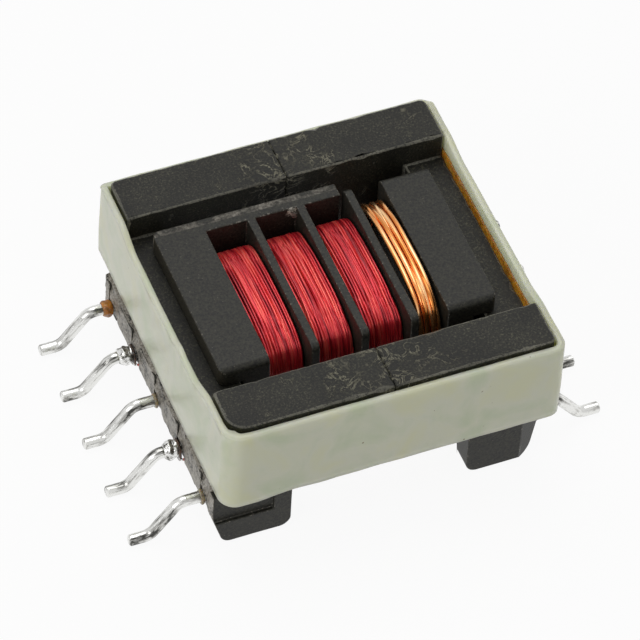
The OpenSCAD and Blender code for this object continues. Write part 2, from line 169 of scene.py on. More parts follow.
# copy of a CAD node with worn edges: edges are cut into short lengths, rounded, and here and there chipped
def wornCopy(node, name, wear, keepSharp=lambda spot: False):
    low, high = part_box(node)
    work = bmesh.new()
    work.from_mesh(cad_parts[node].data)
    bmesh.ops.remove_doubles(work, verts=work.verts, dist=wear["weld"] * mm)
    bmesh.ops.dissolve_limit(work, angle_limit=math.radians(1), verts=work.verts, edges=work.edges)

    # large faces are cut into cells, so that a rounded edge leaves no sliver across them
    for axis in range(3):
        normal = Vector([float(axis == k) for k in range(3)])
        for i in range(1, int((high[axis] - low[axis]) / (wear["cell"] * mm)) + 1):
            cut = low + normal * (i - wear["cellShift"]) * wear["cell"] * mm
            bmesh.ops.bisect_plane(work, geom=work.verts[:] + work.edges[:] + work.faces[:], dist=0.0005 * mm,
                                   plane_co=cut, plane_no=normal)

    def wornEdges():
        return [e for e in work.edges
                if e.is_manifold and e.calc_face_angle(0) > math.radians(wear["sharperThan"])
                and not keepSharp((e.verts[0].co + e.verts[1].co) / 2)]

    for edge in wornEdges():
        cuts = int(edge.calc_length() / (wear["step"] * mm)) - 1
        if cuts > 0:
            bmesh.ops.subdivide_edges(work, edges=[edge], cuts=cuts)
    worn = wornEdges()
    spots = [vertex.co.copy() for vertex in {v for e in worn for v in e.verts}]
    spots.sort(key=lambda spot: (round(spot.x, 7), round(spot.y, 7), round(spot.z, 7)))
    rims = KDTree(len(spots))
    for index, spot in enumerate(spots):
        rims.insert(spot, index)
    rims.balance()
    # the bevel faces take the second material; for the core and the bobbin that is a lighter copy, a painted
    # edge highlight
    bmesh.ops.bevel(work, geom=worn, offset=wear["radius"] * mm, segments=2, profile=0.5,
                    affect="EDGES", clamp_overlap=False, material=1)
    elsewhere = Vector((3, 7, 1))  # the chips come from another part of the noise than the grain
    for vertex in work.verts:
        spot, index, distance = rims.find(vertex.co)
        if distance < 2 * wear["radius"] * mm:
            rough = noise.noise(spot / (wear["grain"] * mm))
            chip = max(0, noise.noise(spot / (wear["chipSpacing"] * mm) + elsewhere) - wear["chipFrom"])
            vertex.co = spot + (vertex.co - spot) * (1 + wear["roughness"] * rough + wear["chipDepth"] * chip)
        vertex.co = [min(max(value, a), b) for value, a, b in zip(vertex.co, low, high)]
    mesh = bpy.data.meshes.new(name)
    work.to_mesh(mesh)
    work.free()
    for face in mesh.polygons:
        face.use_smooth = face.material_index == 1
    piece = addPiece(name, mesh)
    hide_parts(node)
    return piece


# Sintered manganese-zinc ferrite, ground on its flat faces: matt, near-black grey with fine pits
# and pale grains. Its real grain can't be seen, so the grit is drawn as coarse as it needs to show.
# Dried varnish lies over it in thin curled ridges near the joint of the halves.
def sinteredFerrite(name, base, spread, gloss, joint=None):
    material, tree, place = startMaterial(name)
    grit = addNode(tree, "TexNoise", {"Scale": 1 / (0.13 * mm), "Detail": 4, "Roughness": 0.75},
                   {"Vector": place})
    cloud = addNode(tree, "TexNoise", {"Scale": 1 / (2.5 * mm), "Detail": 3}, {"Vector": place})
    tone = addNode(tree, "ValToRGB", {"stops": [(0.36, base), (0.55, spread), (0.7, "#6c6a58")]},
                   {"Fac": grit.outputs["Fac"]})
    patch = addNode(tree, "ValToRGB", {"stops": [(0.3, "#a9a9a9"), (0.7, "#ffffff")]},
                    {"Fac": cloud.outputs["Fac"]})
    mixed = addNode(tree, "Mix", {"data_type": "RGBA", "blend_type": "MULTIPLY", 0: 1.0},
                    {6: tone.outputs[0], 7: patch.outputs[0]})
    pits = addNode(tree, "Bump", {"Strength": 0.6, "Distance": 0.04 * mm}, {"Height": grit.outputs["Fac"]})
    colour, normal = mixed.outputs[2], pits.outputs[0]
    if joint is not None:
        curls = addNode(tree, "TexNoise", {"Scale": 1 / (1.1 * mm), "Detail": 5, "Roughness": 0.6,
                                           "Distortion": 1.2}, {"Vector": place})
        centred = addNode(tree, "Math", {"operation": "SUBTRACT", 1: 0.5}, {0: curls.outputs["Fac"]})
        folded = addNode(tree, "Math", {"operation": "ABSOLUTE"}, {0: centred.outputs[0]})
        ridge = addNode(tree, "MapRange", {"From Min": 0.028, "From Max": 0.008},
                        {"Value": folded.outputs[0]})
        spots = addNode(tree, "TexNoise", {"Scale": 1 / (1.6 * mm), "Detail": 3}, {"Vector": place})
        axes = addNode(tree, "SeparateXYZ", links={"Vector": place})
        away = addNode(tree, "Math", {"operation": "SUBTRACT", 1: joint}, {0: axes.outputs["X"]})
        away = addNode(tree, "Math", {"operation": "ABSOLUTE"}, {0: away.outputs[0]})
        near = addNode(tree, "MapRange", {"From Min": 0.4 * mm, "From Max": 5.5 * mm,
                                          "To Min": 0.65, "To Max": 0.36}, {"Value": away.outputs[0]})
        reach = addNode(tree, "Math", {"operation": "SUBTRACT"},
                        {0: near.outputs[0], 1: spots.outputs["Fac"]})
        patchy = addNode(tree, "MapRange", {"From Min": 0.0, "From Max": 0.1}, {"Value": reach.outputs[0]})
        mask = addNode(tree, "Math", {"operation": "MULTIPLY"}, {0: ridge.outputs[0], 1: patchy.outputs[0]})
        thin = addNode(tree, "Math", {"operation": "MULTIPLY", 1: 0.75}, {0: mask.outputs[0]})
        glaze = addNode(tree, "Mix", {"data_type": "RGBA", 7: linear("#9a9682")},
                        {0: thin.outputs[0], 6: colour})
        raised = addNode(tree, "Bump", {"Strength": 0.7, "Distance": 0.08 * mm},
                         {"Height": mask.outputs[0], "Normal": normal})
        colour, normal = glaze.outputs[2], raised.outputs[0]
    shader = addNode(tree, "BsdfPrincipled", {"Roughness": gloss, "IOR": 1.35},
                     {"Base Color": colour, "Normal": normal})
    addNode(tree, "OutputMaterial", links={"Surface": shader.outputs[0]})
    return material


# Phenolic resin, compression moulded: satin black with pale dust specks, drawn coarser than real
# dust so that they show. Dust is the share of the surface that they cover, and varnish the share
# under a dull grey-brown film. Behind and above guardFrom, a y and a z in metres, the film is heavier.
def mouldedPhenolic(name, base, fleck, gloss, dust, varnish=0.0, guardFrom=None):
    material, tree, place = startMaterial(name)
    grain = addNode(tree, "TexNoise", {"Scale": 1 / (0.15 * mm), "Detail": 5, "Roughness": 0.7},
                    {"Vector": place})
    specks = addNode(tree, "TexNoise", {"Scale": 1 / (0.14 * mm), "Detail": 3}, {"Vector": place})
    mask = addNode(tree, "MapRange", {"From Min": 0.95 - dust, "From Max": 1.03 - dust},
                   {"Value": specks.outputs["Fac"]})
    mottle = addNode(tree, "ValToRGB", {"stops": [(0.38, base), (0.62, "#38372f")]},
                     {"Fac": grain.outputs["Fac"]})
    tone = addNode(tree, "Mix", {"data_type": "RGBA", 7: linear(fleck)},
                   {0: mask.outputs[0], 6: mottle.outputs[0]})
    film = addNode(tree, "TexNoise", {"Scale": 1 / (0.9 * mm), "Detail": 6, "Roughness": 0.7,
                                      "Distortion": 0.6}, {"Vector": place})
    cover = addNode(tree, "MapRange", {"From Min": 0.72 - varnish / 2, "From Max": 0.8 - varnish / 2},
                    {"Value": film.outputs["Fac"]})
    shown = cover.outputs[0]
    if guardFrom is not None:
        axes = addNode(tree, "SeparateXYZ", links={"Vector": place})
        behind = addNode(tree, "Math", {"operation": "GREATER_THAN", 1: guardFrom[0]}, {0: axes.outputs["Y"]})
        above = addNode(tree, "Math", {"operation": "GREATER_THAN", 1: guardFrom[1]}, {0: axes.outputs["Z"]})
        onGuard = addNode(tree, "Math", {"operation": "MULTIPLY"},
                          {0: behind.outputs[0], 1: above.outputs[0]})
        heavy = addNode(tree, "MapRange", {"From Min": 0.42, "From Max": 0.62, "To Max": 0.6},
                        {"Value": film.outputs["Fac"]})
        extra = addNode(tree, "Math", {"operation": "MULTIPLY"},
                        {0: onGuard.outputs[0], 1: heavy.outputs[0]})
        shown = addNode(tree, "Math", {"operation": "MAXIMUM"}, {0: shown, 1: extra.outputs[0]}).outputs[0]
    streak = addNode(tree, "ValToRGB", {"stops": [(0.35, "#5a5349"), (0.5, "#938d82"), (0.7, "#c6c1b6")]},
                     {"Fac": grain.outputs["Fac"]})
    glaze = addNode(tree, "Mix", {"data_type": "RGBA"},
                    {0: shown, 6: tone.outputs[2], 7: streak.outputs[0]})
    sheen = addNode(tree, "MapRange", {"To Min": gloss - 0.1, "To Max": gloss + 0.14},
                    {"Value": grain.outputs["Fac"]})
    skin = addNode(tree, "Bump", {"Strength": 0.5, "Distance": 0.03 * mm}, {"Height": grain.outputs["Fac"]})
    crust = addNode(tree, "Bump", {"Strength": 0.6, "Distance": 0.08 * mm},
                    {"Height": shown, "Normal": skin.outputs[0]})
    shader = addNode(tree, "BsdfPrincipled", {"IOR": 1.36},
                     {"Base Color": glaze.outputs[2], "Roughness": sheen.outputs[0],
                      "Normal": crust.outputs[0]})
    addNode(tree, "OutputMaterial", links={"Surface": shader.outputs[0]})
    return material


# Polyester film tape, wound in layers: milky, smooth and a little see-through, so it glows softly.
# Varnish that crept between the layers clouds it green and yellow.
def filmTape(name, pale, tinted, clouded):
    material, tree, place = startMaterial(name)
    wide = addNode(tree, "TexNoise", {"Scale": 1 / (3.5 * mm), "Detail": 4, "Distortion": 0.5},
                   {"Vector": place})
    tone = addNode(tree, "ValToRGB", {"stops": [(0.36, tinted), (0.5, pale), (0.66, clouded)]},
                   {"Fac": wide.outputs["Fac"]})
    specks = addNode(tree, "TexNoise", {"Scale": 1 / (0.3 * mm), "Detail": 1}, {"Vector": place})
    dirt = addNode(tree, "MapRange", {"From Min": 0.79, "From Max": 0.83}, {"Value": specks.outputs["Fac"]})
    colour = addNode(tree, "Mix", {"data_type": "RGBA", 7: linear("#8f8362")},
                     {0: dirt.outputs[0], 6: tone.outputs[0]})
    ripple = addNode(tree, "TexNoise", {"Scale": 1 / (1.4 * mm), "Detail": 3}, {"Vector": place})
    wave = addNode(tree, "Bump", {"Strength": 0.35, "Distance": 0.08 * mm}, {"Height": ripple.outputs["Fac"]})
    shader = addNode(tree, "BsdfPrincipled",
                     {"Roughness": 0.27, "IOR": 1.5, "Subsurface Weight": 0.75,
                      "Subsurface Scale": 1.2 * mm, "Subsurface Radius": (1, 1, 0.75)},
                     {"Base Color": colour.outputs[2], "Normal": wave.outputs[0]})
    addNode(tree, "OutputMaterial", links={"Surface": shader.outputs[0]})
    return material


# Polyurethane enamel on drawn copper: a clear tinted coat, so each turn has a bright line and a
# deep side. The tone changes from turn to turn, and slowly along each. Beyond tinFrom, metres from
# the middle along X, the enamel has burnt off in the solder.
def enamelledWire(name, pale, bright, deep, metalness, gloss, tinFrom=None):
    material, tree, place = startMaterial(name)
    across = addNode(tree, "Mapping", {"Scale": (1, 0.05, 0.05)}, {"Vector": place})
    drift = addNode(tree, "TexNoise", {"Scale": 1 / (0.2 * mm), "Detail": 3}, {"Vector": across.outputs[0]})
    tone = addNode(tree, "ValToRGB", {"stops": [(0.36, deep), (0.5, bright), (0.68, pale)]},
                   {"Fac": drift.outputs["Fac"]})
    shader = addNode(tree, "BsdfPrincipled",
                     {"Metallic": metalness, "Roughness": gloss, "Coat Weight": 0.25, "Coat Roughness": 0.12},
                     {"Base Color": tone.outputs[0]})
    if tinFrom is not None:
        axes = addNode(tree, "SeparateXYZ", links={"Vector": place})
        out = addNode(tree, "Math", {"operation": "ABSOLUTE"}, {0: axes.outputs["X"]})
        mask = addNode(tree, "Math", {"operation": "GREATER_THAN", 1: tinFrom}, {0: out.outputs[0]})
        wet = addNode(tree, "BsdfPrincipled", {"Base Color": linear("#d9d9d6"), "Metallic": 1.0,
                                               "Roughness": 0.2})
        shader = addNode(tree, "MixShader",
                         links={0: mask.outputs[0], 1: shader.outputs[0], 2: wet.outputs[0]})
    addNode(tree, "OutputMaterial", links={"Surface": shader.outputs[0]})
    return material


# Tin, dipped or flowed: bright metal with dull grey runs between. The runs are partly the tin's own
# drawn streaks and partly painted reflection, the dark that surroundings would mirror in the metal.
# Stretch draws the runs out along a wire, and at 1 they lie all ways.
def dippedTin(name, bright, dullRunsAndReflection, gloss, stretch):
    material, tree, place = startMaterial(name)
    along = addNode(tree, "Mapping", {"Scale": (stretch, 1, stretch)}, {"Vector": place})
    runs = addNode(tree, "TexNoise", {"Scale": 1 / (0.26 * mm), "Detail": 5, "Roughness": 0.65},
                   {"Vector": along.outputs[0]})
    # the dull stop is painted reflection as well as streaks in the tin
    tone = addNode(tree, "ValToRGB", {"stops": [(0.4, dullRunsAndReflection), (0.46, "#b0afab"), (0.54, bright)]},
                   {"Fac": runs.outputs["Fac"]})
    lumps = addNode(tree, "Bump", {"Strength": 0.6, "Distance": 0.06 * mm}, {"Height": runs.outputs["Fac"]})
    shader = addNode(tree, "BsdfPrincipled", {"Metallic": 1.0, "Roughness": gloss},
                     {"Base Color": tone.outputs[0], "Normal": lumps.outputs[0]})
    addNode(tree, "OutputMaterial", links={"Surface": shader.outputs[0]})
    return material


# Rosin flux, varnish or tinted film: hard resin with a glassy skin, lit from within.
def curedResin(name, light, dark):
    material, tree, place = startMaterial(name)
    depth = addNode(tree, "TexNoise", {"Scale": 1 / (0.4 * mm), "Detail": 2}, {"Vector": place})
    tone = addNode(tree, "ValToRGB", {"stops": [(0.3, dark), (0.7, light)]}, {"Fac": depth.outputs["Fac"]})
    shader = addNode(tree, "BsdfPrincipled",
                     {"Roughness": 0.18, "IOR": 1.52, "Subsurface Weight": 0.6,
                      "Subsurface Scale": 0.5 * mm, "Subsurface Radius": (1, 0.5, 0.15)},
                     {"Base Color": tone.outputs[0]})
    addNode(tree, "OutputMaterial", links={"Surface": shader.outputs[0]})
    return material


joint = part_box("core_half_left")[1].x  # where the halves meet
railSide = -boxOf("bobbin")[0].x  # how far the rails reach from the middle, in mm
ferrite = sinteredFerrite("groundFerrite", "#121210", "#302f27", gloss=0.5, joint=joint)
# Painted highlight: the core's bevelled edges get a paler ferrite, as if they caught the light.
ferriteEdgeHighlight = sinteredFerrite("paintedHighlightFerrite", "#33322f", "#8b897c", gloss=0.38)  # edges catch the light

guardVarnishFrom = {"behindCoil": 0.62, "belowTop": 2.5}
guardFrom = (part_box("winding_fine_1")[1].y + guardVarnishFrom["behindCoil"] * mm,
             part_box("bobbin")[1].z - guardVarnishFrom["belowTop"] * mm)
phenolic = mouldedPhenolic("mouldedPhenolic", "#0d0d0c", "#5f5c53", gloss=0.45, dust=0.285, varnish=0.1,
                           guardFrom=guardFrom)
# Painted highlight, with extra dust specks: the bobbin's bevelled edges get a lighter base and fleck, as if
# light caught the rims.
phenolicEdgeHighlight = mouldedPhenolic("paintedHighlightPhenolic", "#24231f", "#77736a", gloss=0.35, dust=0.38)
phenolicRail = mouldedPhenolic("varnishedRail", "#24221f", "#a39d90", gloss=0.33, dust=0.45, varnish=0.62)
phenolicGuard = mouldedPhenolic("varnishedGuard", "#3a352c", "#b4ae9f", gloss=0.3, dust=0.45, varnish=0.6)

tapeFilm = filmTape("polyesterTape", "#d9dbc3", "#ccd4b6", "#dadbb8")
amberFilm = curedResin("amberFilm", "#c98a2c", "#93601a")

tinnedFrom = (railSide + 0.02) * mm  # leads are tinned just outside the rail
redEnamel = enamelledWire("redEnamelledCopper", "#f8685c", "#df2f3a", "#94121f", metalness=0.5, gloss=0.33)
redLead = enamelledWire("redLeadTinnedAtItsEnd", "#ff7a6e", "#d8343c", "#a81824", metalness=0.5, gloss=0.32,
                        tinFrom=tinnedFrom)
copperEnamel = enamelledWire("clearEnamelledCopper", "#ffd4a0", "#f4a662", "#c4762f", metalness=0.95,
                             gloss=0.24)
copperLead = enamelledWire("copperLeadTinnedAtItsEnd", "#ffc79a", "#e8975a", "#b5692e", metalness=0.95,
                           gloss=0.27, tinFrom=tinnedFrom)

tin = dippedTin("hotDippedTin", "#e9e9e6", "#4a4a47", gloss=0.17, stretch=0.12)
solderTin = dippedTin("flowedSolder", "#f0f0ee", "#5b5a55", gloss=0.14, stretch=1.0)
flux = curedResin("rosinFlux", "#d08a34", "#8a5418")
# near-black brown resin for the crusts at the soldered terminals' roots
darkRootCrust = curedResin("nearBlackCrust", "#5d3a17", "#1d130a")
paleFlux = curedResin("driedFlux", "#b8ab8c", "#6d6048")
print("materials made")


# Core: two ferrite halves. Sizes of the wear, for the core and for the bobbin below:
# radius rounds the edges; step is the length of the pieces that an edge is cut into; cell is the
# width of the faces' cells, shifted by the share cellShift, and a large one leaves faces whole;
# points nearer than weld are joined; sharperThan is the angle, in degrees, from which an edge is
# worn; grain and roughness are the width of its unevenness and its share of the radius; the chips
# have a spacing, a threshold and a depth. Faces within jointBand of the joint get no painted
# edge highlight.
coreWear = {"radius": 0.1, "step": 0.3, "cell": 1.6, "cellShift": 0.37, "weld": 0.002, "sharperThan": 30,
            "grain": 0.35, "roughness": 0.5, "chipSpacing": 0.9, "chipFrom": 0.22, "chipDepth": 3.5,
            "jointBand": 0.14}

for side in ("left", "right"):
    half = wornCopy("core_half_" + side, "ferriteHalf_" + side, coreWear)
    setMaterials(half, ferrite, ferriteEdgeHighlight)
    for face in half.data.polygons:
        if abs(face.center.x - joint) < coreWear["jointBand"] * mm:
            face.material_index = 0  # the joint's edges get no painted highlight
print("core made")


# Bobbin: edges nearer than boreReach to a terminal's axis stay sharp. Side faces within railDepth
# of the ends carry varnish.
bobbinWear = {"radius": 0.06, "step": 1.2, "cell": 99, "cellShift": 0.37, "weld": 0.012, "sharperThan": 30,
              "grain": 0.5, "roughness": 0.35, "chipSpacing": 1.5, "chipFrom": 0.4, "chipDepth": 2,
              "boreReach": 0.45, "railDepth": 0.6}
terminals = [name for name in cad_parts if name.startswith("terminal_")]
pinAxes = [pinAxis(name) for name in terminals]


def inBore(spot):
    return any(math.hypot(spot.y / mm - y, spot.z / mm - z) < bobbinWear["boreReach"] for y, z in pinAxes)


bobbin = wornCopy("bobbin", "mouldedBobbin", bobbinWear, inBore)
# the second material is the painted edge highlight, and the third is the rails' varnish
setMaterials(bobbin, phenolic, phenolicEdgeHighlight, phenolicRail)
for face in bobbin.data.polygons:
    if abs(face.center.x) > (railSide - bobbinWear["railDepth"]) * mm and abs(face.normal.x) > 0.5:
        face.material_index = 2
print("bobbin made")


# Windings: each layer is one wire, wound turn beside turn, with so many steps to a turn. The pack
# is crowned: peak is the height of its top, power how square its section is, and shoulder how many
# wires it falls at its two ends. Wander and lift are how far a turn strays sideways and in height,
# spread what the pack bulges past the solid in front and behind, and a few turns cross the others.
fineWinding = {"wireD": 0.16, "sides": 8, "steps": 64, "layers": 3, "peak": 10.02, "power": 3.0,
               "shoulder": 1.1, "wander": 0.045, "lift": 0.07, "spread": 0, "crossings": 9, "seed": 7}
thickWinding = {"wireD": 0.31, "sides": 12, "steps": 72, "layers": 2, "peak": 10.75, "power": 2.9,
                "shoulder": 0.35, "wander": 0.012, "lift": 0.05, "spread": 0.5, "crossings": 0, "seed": 50}
# How the layers pack in every section: nest is the wires' depth that one layer takes, and squarer
# what a layer adds to the power. Crossings start at a share of the width, and lie on top by a
# share of the wire's diameter.
packing = {"nest": 0.86, "squarer": 1.5, "shoulderPower": 6, "liftRange": (-1, 0.4),
           "crossStart": (0.15, 0.75), "crossSlant": (0.15, 0.7), "crossLift": (0.7, 0.95)}


def turnPoint(angle, x, halfY, up, down, midZ, power):
    c, s = math.cos(angle), math.sin(angle)
    y = halfY * math.copysign(abs(c) ** (2 / power), c)
    z = (up if s > 0 else down) * math.copysign(abs(s) ** (2 / power), s)
    return Vector((x, y, midZ + z))


def woundSection(node, name, winding, material, seed):
    low, high = boxOf(node)
    wireD = winding["wireD"]
    midZ = (low.z + high.z) / 2
    halfY, down = (high.y - low.y) / 2 + winding["spread"], (high.z - low.z) / 2
    width = high.x - low.x
    draw = random.Random(seed)
    routes = []
    for layer in range(winding["layers"]):
        turns = int(width / wireD + 0.01) - layer % 2  # the hundredth saves a full row from rounding
        pitch = (width - wireD) / (turns - 1)
        inset = wireD / 2 + layer * wireD * packing["nest"]
        shifts = [draw.uniform(-1, 1) * winding["wander"] for turn in range(turns + 1)]
        lifts = [draw.uniform(*packing["liftRange"]) * winding["lift"] for turn in range(turns + 1)]
        route = []
        for i in range((turns - 1) * winding["steps"] + 1):
            turn = i / winding["steps"]
            whole, ease = int(turn), smoothRise(turn, int(turn), int(turn) + 1)
            shift = shifts[whole] * (1 - ease) + shifts[whole + 1] * ease
            rise = lifts[whole] * (1 - ease) + lifts[whole + 1] * ease
            edge = abs(2 * turn / (turns - 1) - 1)
            x = min(max(low.x + wireD / 2 + pitch * turn + shift, low.x + wireD / 2), high.x - wireD / 2)
            if layer % 2:
                x = low.x + high.x - x  # every other layer is wound back
            fall = winding["shoulder"] * wireD * edge ** packing["shoulderPower"]
            up = winding["peak"] - midZ - inset + rise - fall
            route.append(turnPoint(2 * math.pi * turn - math.pi / 2, x, halfY - inset, up, down - inset, midZ,
                                   winding["power"] + packing["squarer"] * layer))
        routes.append(route)
    for crossing in range(winding["crossings"]):
        start = draw.uniform(*packing["crossStart"]) * width
        slant = draw.choice((-1, 1)) * draw.uniform(*packing["crossSlant"])
        route, lift = [], draw.uniform(*packing["crossLift"]) * wireD
        for i in range(winding["steps"] // 2 + 1):
            part = i / (winding["steps"] // 2)
            x = min(max(low.x + start + slant * (part - 0.5), low.x + wireD), high.x - wireD)
            hump = lift * math.sin(math.pi * part)
            up = winding["peak"] - midZ - wireD + hump
            route.append(turnPoint(math.pi * part, x, halfY - wireD / 2, up, down - wireD / 2, midZ,
                                   winding["power"]))
        routes.append(route)
    points, faces = tubeMesh(routes, wireD / 2, winding["sides"])
    piece = addPiece(name, meshFrom(name, points, faces))
    setMaterials(piece, material)
    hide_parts(node)
    return piece


for number in (1, 2, 3):
    coil = woundSection(f"winding_fine_{number}", f"fineTurns_{number}", fineWinding, redEnamel,
                        number * fineWinding["seed"])
coil = woundSection("winding_thick", "thickTurns", thickWinding, copperEnamel, thickWinding["seed"])
print("windings made")


# Tape: one band whose edges wander as a hand-wound tape's do, measured from the solid's own edges.
tape = {
    "thickness": 0.5, "step": 0.12, "rows": 12,  # the band, and how finely it is drawn
    "cornerR": 0.85, "sharpR": 0.55, "wornR": 1.15, "cornerSteps": 12,  # right, back left, front left
    "wornFill": 0.37, "wornReach": 0.9,  # extra depth behind the worn corner, and how far it reaches
    "wander": 0.06, "topWave": 2.2, "bottomWave": 1.7,  # height and lengths of the edges' waves
    "wall": 0.6,  # what a wall does fades over this distance from its face
    "leftDip": 0.72, "rightDip": 0.3, "legReach": 6.9, "dipEase": (2.2, 0.4),  # sags between the legs
    "backDip": 0.3, "backFrom": 0.9, "backTo": 0.2,  # the back wall's upper edge is lower
    "leftTilt": 0.25, "tiltEnds": 8,  # the left wall's lower edge slopes from back to front
    "frontLift": 0.22, "frontLiftAt": (1.5, 4.5), "cornerSag": 0.12, "cornerSagEnd": 2.5,  # from the left
    "endStep": 0.1, "endStepAt": (-1.2, -0.9),  # where the outer end of the tape stops
    "bump": 0.12, "bumpAt": -2.6, "bumpWidth": 0.5,  # on the left wall's upper edge
    "rim": 0.12, "rimDrop": 0.04, "rimBevel": 0.05, "foot": 0.05,  # how the edges are rounded
    "leftLean": 0.12, "leanEnd": -9,  # the left wall leans in at its top, up to this x
    "belly": 0.06, "bellyEnds": 0.08, "bellyPower": 0.6, "ripple": 0.03, "rippleWave": 2.6}  # its face


def bandPath(low, high):
    corners = ((high.x, low.y, tape["cornerR"], -90), (high.x, high.y, tape["cornerR"], 0),
               (low.x, high.y, tape["sharpR"], 90), (low.x, low.y, tape["wornR"], 180))
    path = []
    for x, y, radius, first in corners:
        centre = Vector((x - math.copysign(radius, x), y - math.copysign(radius, y)))
        for i in range(tape["cornerSteps"] + 1):
            angle = math.radians(first + 90 * i / tape["cornerSteps"])
            outward = Vector((math.cos(angle), math.sin(angle)))
            path.append((centre + outward * radius, outward))
    return path


# heights of the band's upper and lower edge at a spot of its path
def tapeEdges(x, y, low, high):
    topWave, bottomWave = tape["topWave"], tape["bottomWave"]
    top = high.z + tape["wander"] * noise.noise(Vector((x / topWave, y / topWave, 1.0)))
    bottom = low.z + tape["wander"] * noise.noise(Vector((x / bottomWave, y / bottomWave, 5.0)))
    onLeft = 1 - smoothRise(x, low.x, low.x + tape["wall"])
    onRight = smoothRise(x, high.x - tape["wall"], high.x)
    onFront = 1 - smoothRise(y, low.y, low.y + tape["wall"])
    onBack = smoothRise(y, high.y - tape["backFrom"], high.y - tape["backTo"])
    before, past = tape["dipEase"]
    between = 1 - smoothRise(abs(y), tape["legReach"] - before, tape["legReach"] + past)
    top -= tape["backDip"] * onBack
    top -= between * (tape["leftDip"] * onLeft + tape["rightDip"] * onRight)
    top += tape["bump"] * math.exp(-((y - tape["bumpAt"]) / tape["bumpWidth"]) ** 2) * onLeft
    bottom += onLeft * tape["leftTilt"] * (1 - 2 * smoothRise(-y, -tape["tiltEnds"], tape["tiltEnds"]))
    away = x - low.x
    bottom += onFront * (tape["frontLift"] * smoothRise(away, *tape["frontLiftAt"])
                         - tape["cornerSag"] * (1 - smoothRise(away, 0, tape["cornerSagEnd"])))
    bottom += tape["endStep"] * smoothRise(y, *tape["endStepAt"]) * onLeft
    return min(top, high.z), max(bottom, low.z)


# a closed band round the core; profileAt gives, at a spot of the path, pairs of inset and height
def bandMesh(name, node, material, profileAt):
    low, high = boxOf("tape_band")
    ring = []
    path = bandPath(low, high)
    for (spot, outward), (following, nextOutward) in zip(path, path[1:] + path[:1]):
        count = max(1, int((following - spot).length / tape["step"]))
        for i in range(count):
            part = i / count
            ring.append((spot.lerp(following, part), outward.lerp(nextOutward, part).normalized()))
    points, rows = [], 0
    for spot, outward in ring:
        profile = profileAt(spot, *tapeEdges(spot.x, spot.y, low, high))
        rows = len(profile)
        for inset, z in profile:
            points.append((spot.x - outward.x * inset, spot.y - outward.y * inset, z))
    faces = []
    for i in range(len(ring)):
        for k in range(rows):
            after, up = (i + 1) % len(ring) * rows, (k + 1) % rows
            faces.append((i * rows + k, i * rows + up, after + up, after + k))
    piece = addPiece(name, meshFrom(name, points, faces))
    setMaterials(piece, material)
    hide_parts(node)


def tapeProfile(spot, top, bottom):
    low = boxOf("tape_band")[0]
    thick = tape["thickness"]
    thick += tape["wornFill"] * math.exp(-((spot - low.xy).length / tape["wornReach"]) ** 2)
    edge = top - tape["rimDrop"]
    profile = [(thick, bottom), (thick, edge), (thick - tape["rimBevel"], top), (thick / 2, top),
               (tape["rim"], edge)]
    lean = tape["leftLean"] * (1 - smoothRise(spot.x, low.x, tape["leanEnd"]))
    for k in range(tape["rows"] + 1):
        part = k / tape["rows"]
        across = tape["bellyEnds"] + (1 - 2 * tape["bellyEnds"]) * part
        bulge = tape["belly"] * (1 - math.sin(math.pi * across) ** tape["bellyPower"])
        wave = Vector((spot.x / tape["rippleWave"], spot.y / tape["rippleWave"], part * 2.0))
        soft = tape["ripple"] * (1 + noise.noise(wave))
        fall = tape["rim"] + (top - bottom - tape["rim"] - tape["foot"]) * part
        profile.append((max(0, bulge + soft) + lean * (1 - part), top - fall))
    profile.append((tape["rim"], bottom))
    return profile


# Film under the tape. It stands above the tape only along the right wall, and is hidden elsewhere.
film = {"thickness": 0.08, "gap": 0.02, "uneven": 0.1, "wave": 1.1, "belowTop": 0.04, "hidden": 0.5,
        "wall": 0.25}


def filmProfile(spot, top, bottom):
    low, high = boxOf("film_layer")
    uneven = film["uneven"] * noise.noise(Vector((spot.y / film["wave"], 3.0, 7.0)))
    onRight = spot.x > high.x - film["wall"]
    reach = min(high.z - film["belowTop"] + uneven if onRight else top - film["hidden"], high.z)
    outer = tape["thickness"] + film["gap"]
    inner = outer + film["thickness"]
    return [(inner, low.z), (inner, reach), (outer, reach), (outer, low.z)]


bandMesh("tapeBand", "tape_band", tapeFilm, tapeProfile)
bandMesh("filmLayer", "film_layer", amberFilm, filmProfile)
print("tape and film made")


# Solder, flux and a near-black crust: each is a lump round a terminal, in rings along the wire. It is
# thin above the wire at its ends, swells in the middle, is uneven, and sags below. From and reach say
# where it starts and stops outside the rail; a solder lump stops where its solid does.
lumpMesh = {"wireR": 0.35, "rings": 22, "sides": 28, "waveAlong": 0.28, "waveRound": 1.6}
solder = {"from": 0.06, "thin": 0.01, "swell": 0.2, "uneven": 0.16, "sag": 0.0}
crusts = {"from": 0.01, "reach": 0.22, "thin": 0.02, "swell": 0.24, "uneven": 0.14, "sag": 0.25, "seed": 3}
beads = {"from": -0.02, "thin": 0.01, "uneven": 0.08, "sag": 0.1}
beadAt = {"terminal_left_1": {"reach": 0.62, "swell": 0.13, "seed": 4, "resin": flux},
          "terminal_left_3": {"reach": 0.2, "swell": 0.07, "seed": 9, "resin": paleFlux},
          "terminal_left_5": {"reach": 0.22, "swell": 0.08, "seed": 13, "resin": paleFlux}}


